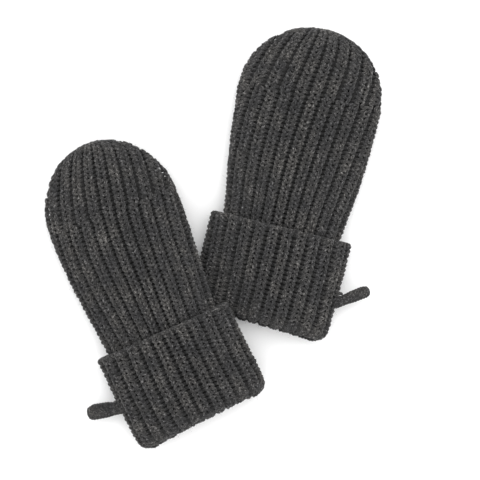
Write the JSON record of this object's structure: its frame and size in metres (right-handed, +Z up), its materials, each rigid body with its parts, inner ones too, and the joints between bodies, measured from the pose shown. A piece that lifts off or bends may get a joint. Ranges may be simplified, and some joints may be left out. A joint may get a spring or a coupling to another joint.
{
  "type": "pair of knitted infant mittens",
  "caption": "Pair of thumbless rib-knit infant mittens in charcoal melange wool, each with a turned-up cuff and a small hanging loop.",
  "frame": {"origin": "middle of the pair's outline, on the surface it lies on", "axes": "+Z up, +Y along the pair's longer side towards the fingertips, +X towards the right mitten"},
  "size_m": [0.1454, 0.1822, 0.0235],
  "materials": {
    "hand_rib": "matte one-by-one rib knit",
    "cuff_rib": "matte one-by-one rib knit",
    "edge_chain": "matte knitted chain",
    "seam_yarn": "matte sewn yarn",
    "loop_tape": "matte plain knit"
  },
  "bodies": {
    "right_mitten": {"right_hand_back": "hand_rib", "right_hand_palm": "hand_rib", "right_cuff_front": "cuff_rib", "right_cuff_back": "cuff_rib", "right_cuff_edge": "edge_chain", "right_outer_seam": "seam_yarn", "right_inner_seam": "seam_yarn", "right_tip_seam": "seam_yarn", "right_loop_tack": "seam_yarn"},
    "right_loop": {"right_hanging_loop": "loop_tape"},
    "left_mitten": {"left_hand_back": "hand_rib", "left_hand_palm": "hand_rib", "left_cuff_front": "cuff_rib", "left_cuff_back": "cuff_rib", "left_cuff_edge": "edge_chain", "left_outer_seam": "seam_yarn", "left_inner_seam": "seam_yarn", "left_tip_seam": "seam_yarn", "left_loop_tack": "seam_yarn"},
    "left_loop": {"left_hanging_loop": "loop_tape"}
  },
  "joints": [
    {"name": "left_mitten_lift", "type": "slide", "parent": "right_mitten", "child": "left_mitten", "axis": [0, 0, 1], "range_m": [0, 0.08]},
    {"name": "right_loop_swing", "type": "hinge", "parent": "right_mitten", "child": "right_loop", "pos_m": [0.05813, -0.02619, 0.0079], "axis": [0.3605, -0.9328, 0], "range_deg": [-8, 100]},
    {"name": "left_loop_swing", "type": "hinge", "parent": "left_mitten", "child": "left_loop", "pos_m": [-0.04416, -0.07395, 0.0079], "axis": [-0.1886, 0.9821, 0], "range_deg": [-8, 100]}
  ]
}
